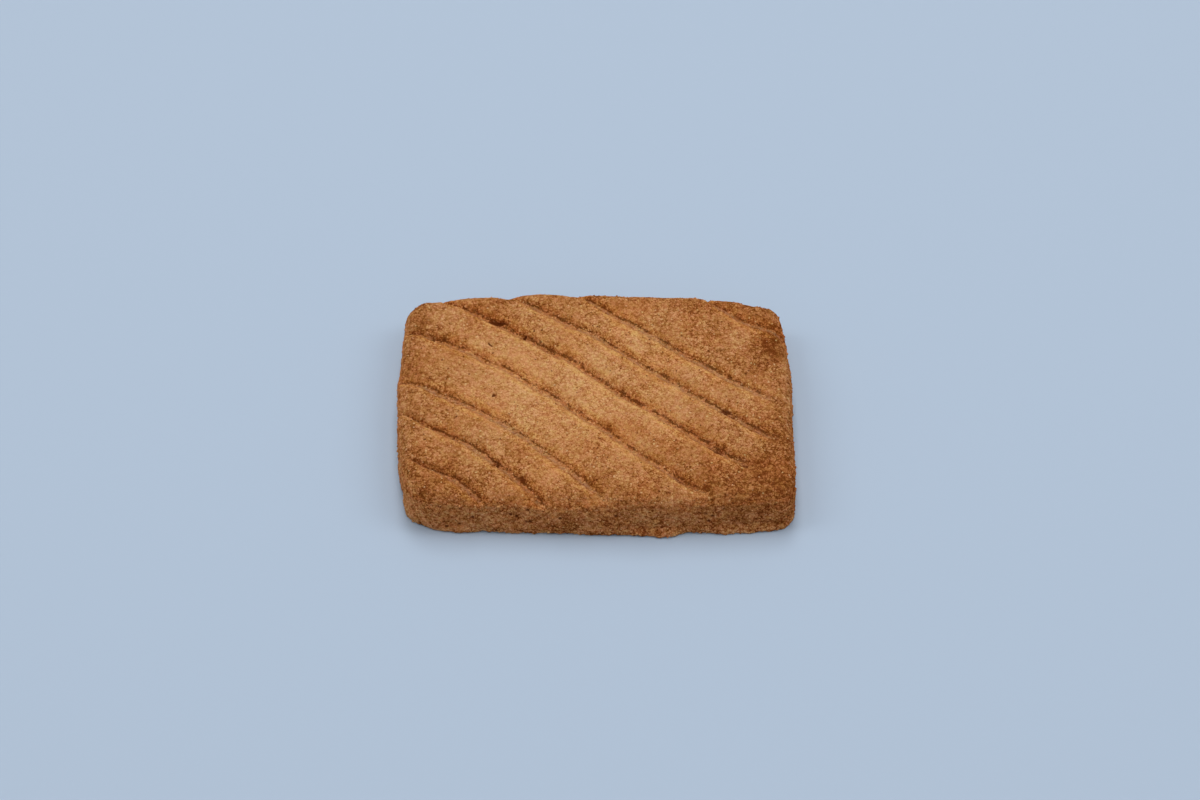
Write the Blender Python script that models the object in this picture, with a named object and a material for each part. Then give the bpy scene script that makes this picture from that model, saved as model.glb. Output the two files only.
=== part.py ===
"""Shortbread biscuit: a slab of rolled dough, cut to a rounded oblong and pressed with slanting
grooves before baking.

It is one solid. A gridded block is rounded at its corners, rim and foot, its wall is let spread
towards the tray, and the grooves, which each follow a curve of their own, are pressed into its top.
The origin is at the middle of the flat base, with X along the long side, Y to the back and Z up.
"""

import bmesh
import bpy
import numpy as np
from mathutils import Matrix

MM = 0.001

# The baked size, from foot to foot and from the base to the highest ridge
LENGTH = 75.0 * MM
WIDTH = 56.0 * MM
THICKNESS = 9.6 * MM

# Each pair is for the left and the right, and then for the front and the back
END_BOWS = (1.5 * MM, 0.7 * MM)
SIDE_BOWS = (1.1 * MM, 2.0 * MM)
FRONT_CORNER_RADII = (5.2 * MM, 3.6 * MM)
BACK_CORNER_RADII = (5.6 * MM, 5.0 * MM)

RIM_RADIUS = 2.8 * MM
FOOT_RADIUS = 0.7 * MM
SIDE_SPREAD = 0.6 * MM
END_SPREAD = 0.25 * MM
SPREAD_POWER = 1.6

# How far the front is pushed to the right of the back, and how much the back edge slants forward
SKEW = 0.024
BACK_SLANT = 0.014

DOME_HEIGHT = 0.2 * MM

# Each groove: four points that its middle passes, left to right, its depth, the width of its far
# slope, and how far it takes to fade in at its start and out at its end. All are in millimetres,
# seen from above.
GROOVES = (
    (((21.1, 25.4), (25.3, 21.1), (30.6, 17.8), (37.0, 14.4)), 0.92, 1.27, 0, 2),
    (((-4.2, 26.4), (9.4, 15.9), (22.1, 6.2), (35.9, -3.6)), 1.15, 1.19, 0, 9),
    (((-17.6, 26.0), (-1.6, 15.9), (15.3, 2.5), (34.5, -11.6)), 1.38, 1.02, 0, 4),
    (((-30.6, 24.5), (-11.4, 13.6), (9.5, -3.2), (30.5, -19.0)), 1.84, 1.44, 0, 7),
    (((-37.2, 16.2), (-18.2, 7.3), (1.0, -8.2), (21.1, -24.7)), 1.49, 1.27, 3, 5),
    (((-38.2, 4.2), (-24.7, -2.5), (-11.3, -12.7), (1.8, -26.3)), 1.03, 1.36, 2, 5),
    (((-36.0, -5.2), (-26.6, -10.5), (-17.8, -17.5), (-9.0, -26.8)), 1.60, 1.1, 2.5, 3),
    (((-33.8, -16.3), (-29.3, -18.9), (-24.5, -22.3), (-19.8, -27.0)), 1.60, 0.94, 2.5, 3),
)
PATH_STEPS = 96
GROOVE_REACH = 2.0 * MM

# The blade bit narrowly at first, and opened out to its full width over this length
OPENING_LENGTH = 11.0 * MM
FIRST_WIDTH_SHARE = 0.4

# The blade leant: behind the near lip a floor slopes down to a crease, which lies a little beyond the
# groove's middle, and behind the crease the far side rises to a pillowed ridge
CREASE_SHIFT = 0.40 * MM
CREASE_RADIUS = 0.15 * MM
LIP_WIDTH = 1.10 * MM
LIP_POWER = 4.0
LIP_SHARE = 0.5
FLOOR_WIDTH = 0.65 * MM
FAR_SHARE = 0.85
FAR_POWER = 1.7
PILLOW_WIDTH = 3.4 * MM
PILLOW_SHARE = 0.25

# How the blade wavered: the length of a swerve, how far it went, and its seed
WAVERS = ((4.2 * MM, 0.30 * MM, 6), (1.5 * MM, 0.16 * MM, 7))

# Lumps along the front foot: where along the side, how far they stand out, and their half length
FOOT_LUMPS = (
    (-34.0 * MM, -0.7 * MM, 2.4 * MM),
    (-26.5 * MM, 0.6 * MM, 2.6 * MM),
    (-20.5 * MM, -0.3 * MM, 2.2 * MM),
    (-14.0 * MM, -0.2 * MM, 3.0 * MM),
    (-8.5 * MM, 0.15 * MM, 2.8 * MM),
    (7.4 * MM, 0.45 * MM, 2.4 * MM),
    (12.0 * MM, 1.5 * MM, 3.0 * MM),
    (22.6 * MM, 0.7 * MM, 3.8 * MM),
    (29.0 * MM, 0.9 * MM, 5.0 * MM),
)
FOOT_LUMP_HEIGHT = 2.2 * MM

# Lumps over the whole height of the back wall and of the walls at the two ends
BACK_LUMPS = (
    (-31.0 * MM, -0.3 * MM, 2.6 * MM),
    (-24.0 * MM, -0.4 * MM, 7.0 * MM),
    (-18.4 * MM, -0.3 * MM, 2.0 * MM),
    (-12.0 * MM, 0.4 * MM, 4.0 * MM),
    (4.0 * MM, 0.25 * MM, 2.6 * MM),
    (13.5 * MM, -0.2 * MM, 3.5 * MM),
    (28.0 * MM, 0.4 * MM, 2.6 * MM),
    (31.5 * MM, -1.6 * MM, 4.0 * MM),
    (34.4 * MM, -0.3 * MM, 1.4 * MM),
)
LEFT_LUMPS = ((5.0 * MM, 0.30 * MM, 3.4 * MM), (-19.0 * MM, -0.15 * MM, 3.0 * MM))
RIGHT_LUMPS = ((6.0 * MM, 0.30 * MM, 5.0 * MM), (-9.0 * MM, -0.30 * MM, 5.0 * MM))

# Unevenness of the baked dough: the size of the lumps, how high they stand, and their seed
SWELLS = ((14.0 * MM, 0.30 * MM, 3), (5.0 * MM, 0.22 * MM, 4), (2.4 * MM, 0.12 * MM, 5))

# The block's grid before it is thinned, and the share of its triangles that is kept
GRID_STEP = 0.6 * MM
KEPT_SHARE = 0.15

CRUST_COLOUR = (0.40, 0.17, 0.065, 1.0)


def clear_scene():
    for obj in list(bpy.data.objects):
        bpy.data.objects.remove(obj, do_unlink=True)


def is_along(edge, axis):
    """Whether the edge runs along that axis."""
    run = edge.verts[1].co - edge.verts[0].co
    return abs(run[axis]) > 0.999 * run.length


def gridded_block(sides):
    """A box on the base plane, as a mesh with about GRID_STEP between its points on every face."""
    bm = bmesh.new()
    lift = Matrix.Translation((0.0, 0.0, sides[2] / 2))
    bmesh.ops.create_cube(bm, size=1.0, matrix=lift @ Matrix.Diagonal((*sides, 1.0)))
    for axis, side in enumerate(sides):
        along = [edge for edge in bm.edges if is_along(edge, axis)]
        cuts = round(side / GRID_STEP) - 1
        bmesh.ops.subdivide_edges(bm, edges=along, cuts=cuts, use_grid_fill=True)
    mesh = bpy.data.meshes.new("shortbread")
    bm.to_mesh(mesh)
    bm.free()
    return mesh


def to_disc(u, v):
    """Moves each point of a square ring to the round ring of the same reach."""
    reach = np.maximum(np.abs(u), np.abs(v))
    scale = reach / np.maximum(np.hypot(u, v), 1e-12)
    return u * scale, v * scale


def smooth_step(value, low, high):
    """0 below low, 1 above high, with a level start and end between them."""
    t = np.clip((value - low) / (high - low), 0.0, 1.0)
    return t * t * (3.0 - 2.0 * t)


def swell(points, size, seed):
    """Random numbers on a lattice with that spacing, blended smoothly between its points: -1 to 1."""
    lattice = np.random.default_rng(seed).uniform(-1.0, 1.0, (32, 32, 32))
    cell = np.floor(points / size).astype(int)
    share = points / size - cell
    share = share * share * (3.0 - 2.0 * share)
    total = np.zeros(len(points))
    for corner in np.ndindex(2, 2, 2):
        weight = np.prod(np.where(corner, share, 1.0 - share), axis=1)
        i, j, k = ((cell + corner) % 32).T
        total += weight * lattice[i, j, k]
    return total


def groove_path(passes):
    """The smooth curve through four points: points along it, its direction there, and its length."""
    t = np.linspace(0.0, 1.0, PATH_STEPS)
    stops = np.array((0.0, 1 / 3, 2 / 3, 1.0))
    path = np.zeros((PATH_STEPS, 2))
    for i, point in enumerate(np.array(passes) * MM):
        others = np.delete(stops, i)
        share = np.prod((t[:, None] - others) / (stops[i] - others), axis=1)
        path += share[:, None] * point
    run = np.gradient(path, axis=0)
    step = np.linalg.norm(run, axis=1)
    return path, run / step[:, None], np.cumsum(step)


def groove_depth(x, y):
    """How far the blade pressed the dough down at each place."""
    depth = np.zeros(len(x))
    seen_flat = np.stack([x, y, np.zeros(len(x))], axis=1)
    waver = sum(out * swell(seen_flat, size, seed) for size, out, seed in WAVERS)
    for passes, deep, far_width, fade_in, fade_out in GROOVES:
        path, direction, length = groove_path(passes)
        away = np.stack([x, y], axis=1)[:, None] - path
        nearest = np.argmin((away**2).sum(axis=2), axis=1)
        away = away[np.arange(len(x)), nearest]
        ahead = direction[nearest]
        across = ahead[:, 0] * away[:, 1] - ahead[:, 1] * away[:, 0] + waver - CREASE_SHIFT
        along = length[nearest] + (away * ahead).sum(axis=1)
        opened = smooth_step(along, 0.0, OPENING_LENGTH)
        across /= FIRST_WIDTH_SHARE + (1.0 - FIRST_WIDTH_SHARE) * opened
        from_crease = np.hypot(across, CREASE_RADIUS) - CREASE_RADIUS
        lip = np.exp(-((from_crease / LIP_WIDTH) ** LIP_POWER))
        floor = np.exp(-((from_crease / FLOOR_WIDTH) ** 2))
        far_side = np.exp(-((from_crease / (far_width * FAR_SHARE * MM)) ** FAR_POWER))
        cut = np.where(across < 0, lip * LIP_SHARE + floor * (1.0 - LIP_SHARE), far_side)
        pillow = np.exp(-((across / PILLOW_WIDTH) ** 2))
        section = cut * (1.0 - PILLOW_SHARE) + pillow * PILLOW_SHARE
        start = smooth_step(along, -GROOVE_REACH, fade_in * MM)
        end = smooth_step(length[-1] - along, -GROOVE_REACH, fade_out * MM)
        depth += deep * MM * section * start * end
    return depth


def lumps_along(x, lumps):
    """How far the lumps make a side stand out at each place along it."""
    return sum(out * np.exp(-(((x - where) / half_length) ** 2)) for where, out, half_length in lumps)


def by_corner(x, y, front, back):
    """Blends four values, one for each corner, over the middle of the oblong."""
    right = smooth_step(x, -LENGTH / 8, LENGTH / 8)
    rear = smooth_step(y, -WIDTH / 8, WIDTH / 8)
    return (front[0] + (front[1] - front[0]) * right) * (1.0 - rear) + (
        back[0] + (back[1] - back[0]) * right
    ) * rear


def rounded(block, half_length, half_width):
    """Rounds a block's rim, foot and corners, and lets its wall spread downwards."""
    x, y, z = block.T
    inset = np.minimum(half_length - np.abs(x), half_width - np.abs(y))

    # The rim and the foot roll over in a quarter round, which draws the wall's ends inwards
    out = np.clip(RIM_RADIUS - inset, 0.0, None)
    up = np.clip(z - (THICKNESS - RIM_RADIUS), 0.0, None)
    rim_out, rim_up = to_disc(out, up)
    drawn_in = (out - rim_out) * (up > 0)
    z = z - (up - rim_up) * (out > 0)
    out = np.clip(FOOT_RADIUS - inset, 0.0, None)
    down = np.clip(FOOT_RADIUS - z, 0.0, None)
    foot_out, foot_down = to_disc(out, down)
    drawn_in = drawn_in + (out - foot_out) * (down > 0)
    z = z + (down - foot_down) * (out > 0)

    # Beyond the inner oblong, a point keeps its ring but lies on a round corner
    radius = by_corner(x, y, FRONT_CORNER_RADII, BACK_CORNER_RADII)
    inner_x = np.clip(x, radius - half_length, half_length - radius)
    inner_y = np.clip(y, radius - half_width, half_width - radius)
    beyond_x, beyond_y = x - inner_x, y - inner_y
    ring = np.maximum(np.abs(beyond_x), np.abs(beyond_y))
    end_share = np.abs(beyond_x) / np.maximum(np.abs(beyond_x) + np.abs(beyond_y), 1e-9)
    widest = SIDE_SPREAD + (END_SPREAD - SIDE_SPREAD) * end_share
    spread = widest * np.clip(1.0 - z / THICKNESS, 0.0, 1.0) ** SPREAD_POWER
    at_foot = (y < 0) * (1.0 - smooth_step(z, 0.0, FOOT_LUMP_HEIGHT))
    side_lumps = lumps_along(x, FOOT_LUMPS) * at_foot + lumps_along(x, BACK_LUMPS) * (y > 0)
    end_lumps = lumps_along(y, LEFT_LUMPS) * (x < 0) + lumps_along(y, RIGHT_LUMPS) * (x > 0)
    lumps = side_lumps * (1.0 - end_share) + end_lumps * end_share
    uneven = sum(high * swell(block, size, seed) for size, high, seed in SWELLS)
    reach = ring - drawn_in + (spread + lumps + uneven) * ring / radius
    scale = reach / np.maximum(np.hypot(beyond_x, beyond_y), 1e-9)
    return inner_x + beyond_x * scale, inner_y + beyond_y * scale, z


def bowed(x, y, half_length, half_width):
    """Lets the sides stand out in their middles, and pushes the oblong a little out of square."""
    end_bow = np.where(x < 0, *END_BOWS)
    side_bow = np.where(y < 0, *SIDE_BOWS)
    bowed_x = x * (1.0 + end_bow / half_length * (1.0 - (y / half_width) ** 2))
    bowed_y = y * (1.0 + side_bow / half_width * (1.0 - (x / half_length) ** 2))
    slant = BACK_SLANT * bowed_x * np.clip(bowed_y / half_width, 0.0, None)
    return bowed_x - SKEW * bowed_y, bowed_y - slant


def pressed(x, y, z):
    """Domes the top a little, presses the grooves into it and leaves it uneven."""
    share_up = smooth_step(z, THICKNESS - RIM_RADIUS - 1.5 * MM, THICKNESS - 0.3 * MM)
    dome = (1.0 - (2 * x / LENGTH) ** 2) * (1.0 - (2 * y / WIDTH) ** 2)
    flat = np.stack([x, y, np.full(len(x), THICKNESS)], axis=1)
    uneven = sum(high * swell(flat, size, seed) for size, high, seed in SWELLS)
    return z + share_up * (DOME_HEIGHT * (dome - 1.0) + uneven - groove_depth(x, y))


def fitted(values, size, start):
    """Moves and stretches the values along one axis by a hair, so that they fill the stated size."""
    low, high = values.min(), values.max()
    return (values - low) / (high - low) * size + start


def crust_material():
    crust = bpy.data.materials.new("baked_crust")
    crust.use_nodes = True
    surface = crust.node_tree.nodes["Principled BSDF"]
    surface.inputs["Base Color"].default_value = CRUST_COLOUR
    surface.inputs["Roughness"].default_value = 0.85
    surface.inputs["Metallic"].default_value = 0.0
    return crust


def shortbread(collection):
    half_length = (LENGTH - sum(END_BOWS)) / 2 - END_SPREAD
    half_width = (WIDTH - sum(SIDE_BOWS)) / 2 - SIDE_SPREAD
    mesh = gridded_block((2 * half_length, 2 * half_width, THICKNESS))
    block = np.empty(len(mesh.vertices) * 3)
    mesh.vertices.foreach_get("co", block)
    x, y, z = rounded(block.reshape(-1, 3), half_length, half_width)
    x, y = bowed(x, y, half_length, half_width)
    x, y = fitted(x, LENGTH, -LENGTH / 2), fitted(y, WIDTH, -WIDTH / 2)
    z = fitted(pressed(x, y, z), THICKNESS, 0.0)
    mesh.vertices.foreach_set("co", np.stack([x, y, z], axis=1).ravel())
    mesh.update()
    mesh.shade_smooth()
    biscuit = bpy.data.objects.new("shortbread", mesh)
    biscuit.data.materials.append(crust_material())
    collection.objects.link(biscuit)
    thin = biscuit.modifiers.new("fewer faces", "DECIMATE")
    thin.ratio = KEPT_SHARE
    return biscuit


clear_scene()
biscuits = bpy.data.collections.new("shortbread biscuit")
bpy.context.scene.collection.children.link(biscuits)
shortbread(biscuits)
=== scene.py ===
"""A shortbread biscuit on a pale blue table, lit by four soft studio boxes."""

import math

import bpy
import numpy as np
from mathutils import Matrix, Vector


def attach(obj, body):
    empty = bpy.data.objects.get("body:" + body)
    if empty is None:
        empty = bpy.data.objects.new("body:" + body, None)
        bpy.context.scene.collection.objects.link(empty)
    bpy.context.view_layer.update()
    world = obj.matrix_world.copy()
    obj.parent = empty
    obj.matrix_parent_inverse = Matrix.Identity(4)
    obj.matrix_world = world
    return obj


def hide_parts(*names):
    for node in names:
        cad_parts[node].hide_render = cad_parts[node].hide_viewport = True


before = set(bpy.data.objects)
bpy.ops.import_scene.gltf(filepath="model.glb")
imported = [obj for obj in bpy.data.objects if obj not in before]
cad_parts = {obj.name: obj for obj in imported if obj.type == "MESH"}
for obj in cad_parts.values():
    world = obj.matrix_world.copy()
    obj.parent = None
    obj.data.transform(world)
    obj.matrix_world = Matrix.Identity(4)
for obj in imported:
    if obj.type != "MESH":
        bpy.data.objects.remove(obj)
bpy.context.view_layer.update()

# The slab: plain shortbread dough, cut to an oblong and scored with eight leaning blade strokes, then
# baked on a flat tray. The dough spreads a little at the foot, the ridges between the strokes pillow
# up, and everything that stands proud browns first.
MM = 0.001
LENGTH = 75.0 * MM
WIDTH = 56.0 * MM
THICKNESS = 9.6 * MM

# Each pair is for the left and the right, or for the front and the back
END_BOWS = (1.5 * MM, 0.7 * MM)
SIDE_BOWS = (1.1 * MM, 2.0 * MM)
FRONT_CORNER_RADII = (5.2 * MM, 3.6 * MM)
BACK_CORNER_RADII = (5.6 * MM, 5.0 * MM)
RIM_RADIUS = 2.8 * MM
FOOT_RADIUS = 0.7 * MM
WALL_SPREAD = 0.6 * MM
END_SPREAD = 0.25 * MM
SPREAD_POWER = 1.6
SKEW = 0.024
BACK_SLANT = 0.014
DOME_HEIGHT = 0.2 * MM

# A stroke: four points that its middle passes, its depth, the width of its far slope, the lengths over
# which it fades in and out, in millimetres seen from above, and how dark the painted shade in its crease
# is
STROKES = (
    (((21.1, 25.4), (25.3, 21.1), (30.6, 17.8), (37.0, 14.4)), 0.92, 1.27, 0, 2, 0.6),
    (((-4.2, 26.4), (9.4, 15.9), (22.1, 6.2), (35.9, -3.6)), 1.15, 1.19, 0, 9, 0.9),
    (((-17.6, 26.0), (-1.6, 15.9), (15.3, 2.5), (34.5, -11.6)), 1.38, 1.02, 0, 4, 1.0),
    (((-30.6, 24.5), (-11.4, 13.6), (9.5, -3.2), (30.5, -19.0)), 1.84, 1.44, 0, 7, 1.0),
    (((-37.2, 16.2), (-18.2, 7.3), (1.0, -8.2), (21.1, -24.7)), 1.49, 1.27, 3, 5, 0.6),
    (((-38.2, 4.2), (-24.7, -2.5), (-11.3, -12.7), (1.8, -26.3)), 1.03, 1.36, 2, 5, 0.5),
    (((-36.0, -5.2), (-26.6, -10.5), (-17.8, -17.5), (-9.0, -26.8)), 1.60, 1.1, 2.5, 3, 1.0),
    (((-33.8, -16.3), (-29.3, -18.9), (-24.5, -22.3), (-19.8, -27.0)), 1.60, 0.94, 2.5, 3, 1.0),
)

# A stroke's section: a steep lip on the near side, a rounded crease, a long slope on the far side, and
# the swollen ridges beside it; it starts narrow and opens as the blade sinks in
STROKE_STEPS = 160
STROKE_REACH = 2.0 * MM
OPENING_LENGTH = 11.0 * MM
FIRST_WIDTH_SHARE = 0.4
CREASE_SHIFT = 0.40 * MM
CREASE_RADIUS = 0.10 * MM
LIP_WIDTH = 1.10 * MM
LIP_POWER = 4.0
LIP_SHARE = 0.5
FLOOR_WIDTH = 0.65 * MM
FAR_SHARE = 0.85
FAR_POWER = 1.7
PILLOW_WIDTH = 3.4 * MM
PILLOW_SHARE = 0.25

# How a stroke wavers: over what length, how far, and seed
WAVERS = ((4.2 * MM, 0.30 * MM, 6), (1.5 * MM, 0.16 * MM, 7), (0.7 * MM, 0.12 * MM, 10))

# Marks are worked out this far round a stroke; beyond that a place counts as this many widths away
STROKE_MARGIN = 9.0 * MM
NO_STROKE = 9.0

# Lumps: where along the side, how far they stand out, and their half length
FOOT_LUMPS = (
    (-34.0 * MM, -0.7 * MM, 2.4 * MM),
    (-26.5 * MM, 0.6 * MM, 2.6 * MM),
    (-20.5 * MM, -0.3 * MM, 2.2 * MM),
    (-14.0 * MM, -0.2 * MM, 3.0 * MM),
    (-8.5 * MM, 0.15 * MM, 2.8 * MM),
    (7.4 * MM, 0.45 * MM, 2.4 * MM),
    (12.0 * MM, 1.5 * MM, 3.0 * MM),
    (22.6 * MM, 0.7 * MM, 3.8 * MM),
    (29.0 * MM, 0.9 * MM, 5.0 * MM),
)
FOOT_LUMP_HEIGHT = 2.2 * MM
BACK_LUMPS = (
    (-31.0 * MM, -0.3 * MM, 2.6 * MM),
    (-24.0 * MM, -0.4 * MM, 7.0 * MM),
    (-18.4 * MM, -0.3 * MM, 2.0 * MM),
    (-12.0 * MM, 0.4 * MM, 4.0 * MM),
    (4.0 * MM, 0.25 * MM, 2.6 * MM),
    (13.5 * MM, -0.2 * MM, 3.5 * MM),
    (28.0 * MM, 0.4 * MM, 2.6 * MM),
    (31.5 * MM, -1.6 * MM, 4.0 * MM),
    (34.4 * MM, -0.3 * MM, 1.4 * MM),
)
LEFT_LUMPS = ((5.0 * MM, 0.30 * MM, 3.4 * MM), (-19.0 * MM, -0.15 * MM, 3.0 * MM))
RIGHT_LUMPS = ((6.0 * MM, 0.30 * MM, 5.0 * MM), (-9.0 * MM, -0.30 * MM, 5.0 * MM))

# Swells of the whole slab: their length, height and seed
SWELLS = ((14.0 * MM, 0.30 * MM, 3), (5.0 * MM, 0.22 * MM, 4), (2.4 * MM, 0.12 * MM, 5))

# Cracks and pits: where, half length, half width, turn in degrees and depth, in millimetres
FLAWS = (
    (-18.6, 19.5, 1.9, 0.35, -17, 0.7),
    (-20.1, 19.9, 0.6, 0.50, 0, 0.4),
    (-13.6, 15.8, 0.5, 0.45, 0, 0.8),
    (-19.8, 12.6, 0.8, 0.22, -60, 0.5),
    (-18.9, -0.5, 0.5, 0.20, 65, 0.6),
    (-28.9, 8.8, 0.3, 0.25, 0, 0.4),
    (-31.4, 14.6, 0.5, 0.40, -20, 0.6),
    (-28.8, 14.5, 0.6, 0.45, 0, 0.35),
    (-26.0, -5.6, 0.7, 0.30, 50, 0.4),
    (-20.1, -5.6, 0.3, 0.25, 0, 0.35),
    (-10.6, 6.4, 0.35, 0.25, 0, 0.3),
    (19.5, 7.6, 0.3, 0.25, 0, 0.4),
    (13.9, 8.4, 0.3, 0.25, 0, 0.35),
    (24.2, 11.2, 1.2, 0.25, -10, 0.3),
    (24.9, -4.7, 2.0, 0.30, -33, 0.45),
    (30.5, -8.8, 2.6, 0.25, -36, 0.4),
    (22.3, -13.2, 2.4, 0.40, -35, 0.7),
    (27.8, -17.1, 0.8, 0.40, -30, 0.4),
    (16.5, -21.0, 3.4, 0.25, -38, 0.35),
    (20.1, -17.6, 0.3, 0.25, 0, 0.35),
    (-18.5, -16.7, 0.8, 0.45, -10, 0.8),
    (-13.3, -20.7, 1.0, 0.50, -40, 0.35),
)
FLAW_WAVER_SIZE = 0.8 * MM
FLAW_WAVERS = ((0.30 * MM, 8), (0.22 * MM, 9))
FULL_FLAW = 0.5

# Where the top starts and is full, where the wall is full and ends, and how high the foot's edge goes
TOP_FROM, TOP_FULL = THICKNESS - RIM_RADIUS - 1.5 * MM, THICKNESS - 0.3 * MM
WALL_FULL, WALL_TO = THICKNESS - RIM_RADIUS - 0.6 * MM, THICKNESS - 1.3 * MM
FOOT_EDGE = 0.3 * MM

# From where to where, as a share, the surface counts as facing down, to the front and to the left
FACING_DOWN = (0.95, 0.99)
FACING_FRONT = (0.3, 0.7)
FACING_LEFT = (0.3, 0.8)

# How many points a lattice has along each axis before it starts again
SWELL_LATTICE = 32
CELL_LATTICE = 24

# Bands along a stroke: how many stroke widths their middles are from its crease, and their half width
PRESSED_BAND = (-0.22, 0.42)
FAR_BAND = (0.55, 0.45)
LIP_BAND = (-1.60, 0.55)
WARM_BAND = (0.9, 0.6)
GOLDEN_BAND = (1.15, 0.50)

# How coarse the crumb is, in patches, and how much coarser near the back right corner and elsewhere
COARSENESS = 0.80
COARSE_LIMITS = (0.4, 1.6)
COARSE_SWELLS = ((5.0 * MM, 0.22, 36), (2.2 * MM, 0.176, 37))
COARSE_PLACE = (24.0 * MM, 12.0 * MM)
COARSE_REACH = 11.0 * MM
CORNER_COARSER = 0.05
CORNER_PORES = 1.5
GROOVE_COARSER = 0.3
FAR_SLOPE_COARSER = 0.15
WALL_COARSER = 0.3
WALL_ROUGHER = 0.2
FRONT_ROUGHER = 0.6

# Grains and ripples: their size, height and seed. The lowest grain has that share of its height, and a
# grain sinks below the surface at that many sizes from its middle
GRAINS = ((0.70 * MM, 0.10 * MM, 21), (1.6 * MM, 0.12 * MM, 22))
GRAIN_LEAST = 0.5
GRAIN_LEVEL = 0.55
RIPPLES = ((1.2 * MM, 0.04 * MM, 23), (0.65 * MM, 0.04 * MM, 24))
FOOT_RAGS = ((1.9 * MM, 0.24 * MM, 27), (0.8 * MM, 0.14 * MM, 28))
FOOT_RAGGED_HEIGHT = 0.9 * MM

# Pores: spacing, the share of the places that has one, half width, depth, whether they are on the wall
# only, and seed
PORES = (
    (2.6 * MM, 0.12, 0.28 * MM, 0.28 * MM, False, 25),
    (1.5 * MM, 0.30, 0.38 * MM, 0.34 * MM, True, 26),
)

# Browned patches: where, radius in millimetres, and how much browner
PATCHES = (
    (-36.5, 8.0, 3.0, 0.05),
    (2.3, -7.9, 1.1, 0.35),
    (32.3, 12.0, 3.2, 0.18),
    (18.8, 21.2, 1.8, 0.18),
    (27.0, 20.9, 3.0, 0.12),
    (-5.7, -13.1, 1.5, 0.12),
    (-33.0, 17.0, 4.0, 0.08),
    (-29.0, -22.0, 7.0, 0.14),
    (31.0, -20.0, 5.0, 0.08),
)
PALE_MIDDLE = (-4.0 * MM, 4.0 * MM)
PALE_HALF = (36.0 * MM, 32.0 * MM)
MIDDLE_BROWNING = 0.39
OUTER_BROWNING = 0.22
OUTER_LIMIT = 1.2
BROWNING_SWELLS = ((7.0 * MM, 0.14, 31), (2.6 * MM, 0.08, 32))
# Painted shade: how much browner the far slope of a stroke is, where it faces away from the back light
FAR_SLOPE_SHADE = 0.12
# Painted highlight: how much paler the near lip of a stroke is
LIP_HIGHLIGHT = 0.09

# How much browner the rim is on the left, on the right, in front and at the back
EDGE_BROWNING = (0.12, 0.08, -0.04, 0.03)
FRONT_RIGHT_BROWNING = 0.11
FRONT_RIGHT_FROM, FRONT_RIGHT_FULL = -14.0 * MM, -3.0 * MM
EDGE_BAND = (2.5 * MM, 1.9 * MM)

# The wall is browner on the right and in the middle than on the left, and the foot browner still; where
# the wall faces left it is paler, as painted light from the left box
WALL_BROWNING = 0.49
WALL_RIGHT_BROWNING = 0.07
# Painted light: how much paler the wall is where it faces left
WALL_LEFT_PAINTED_LIGHT = 0.10
WALL_MIDDLE_BROWNING = 0.04
WALL_MIDDLE_REACH = 9.0 * MM
WALL_SWELLS = ((1.8 * MM, 0.20, 33),)
FOOT_BROWNING = 0.64
FOOT_SWELLS = ((5.0 * MM, 0.12, 34),)
BASE_PALER = 0.04

# How far the crust turns red: everywhere, in patches, and how much more or less from place to place
WARMTH = 0.08
WARMTH_SWELLS = ((4.5 * MM, 0.34, 35),)
WALL_WARMER = 0.90
RIM_WARMER = 0.7
RIM_BAND = (THICKNESS - 2.4 * MM, 0.9 * MM)
BROWNED_WARMER = 0.3
BROWNED_FROM = 0.40
FAR_SLOPE_WARMER = 0.2
# The foot is less red: partly the crust's own colour, partly painted blue light thrown up from the table
FOOT_COOLER = 0.7
FOOT_COOLER_HEIGHT = 1.3 * MM
BASE_COOLER = 0.6
FAR_SLOPE_GOLDEN = 0.7
MIDDLE_GOLDEN = 0.4

# The crust from pale to dark brown, then pressed dough, sugar, the painted shade inside a pore, which is
# also the colour of the dark specks, the painted shade in a crease, and the tints that all of these are
# multiplied by in places
CRUST_COLOURS = (
    (0.00, (0.69, 0.402, 0.198)),
    (0.25, (0.61, 0.316, 0.148)),
    (0.50, (0.49, 0.218, 0.087)),
    (0.75, (0.340, 0.124, 0.036)),
    (1.00, (0.150, 0.040, 0.008)),
)
PRESSED_COLOUR = (0.36, 0.190, 0.100)
SUGAR_COLOUR = (0.66, 0.42, 0.22)
# Painted shade inside pores and cracks, also the colour of the dark specks
PIT_SHADE_AND_SPECK_COLOUR = (0.12, 0.034, 0.010)
CREASE_SHADE_COLOUR = (0.120, 0.042, 0.012)
WARM_TINT = (1.04, 0.88, 0.76)
GOLDEN_TINT = (1.04, 1.02, 0.84)
YELLOW_TINT = (0.985, 1.035, 0.90)
PINK_TINT = (1.02, 0.97, 1.00)

# The crust's noises: the size of each, and the soft and the sharp part of a noise that is spread out
FINE_SIZE = 0.22 * MM
CLOT_SIZE = 1.4 * MM
WOBBLE_SIZE = 0.5 * MM
WOBBLE = 0.34 * MM
GRAIN_SIZE = 0.42 * MM
SPECK_SIZE = 0.62 * MM
PRESSED_PATCH = 0.7 * MM
HUE_PATCH = 1.1 * MM
SOFT = (0.3, 0.7)
SHARP = (0.38, 0.62)

# How much browner or paler it goes from one grain to the next, and in the gaps between them
FINE_TONE = (0.27, -0.31)
GRAIN_TONE = (-0.26, 0.20)
CLOT_TONE = (-0.12, 0.12)
GAP_TONE = 0.24
GAP_RANGE = (0.35, 0.75)

# Each of these maps a low and a high value onto two others
PRESSED_RANGE = (0.25, 0.80, 0.0, 0.75)
PRESSED_PATCHES = (0.2, 1.1)
SPECK_CORE = (0.22, 0.34, 1.0, 0.0)
SUGAR_SPECKS = (0.91, 0.93, 0.0, 0.8)
DARK_SPECKS = (0.025, 0.035, 0.85, 0.0)
RAGGED_PIT = (-0.18, 0.18)
PIT_SHARE = (0.0, 0.95)
GLOSS_RANGE = (0.62, 0.92)
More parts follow.
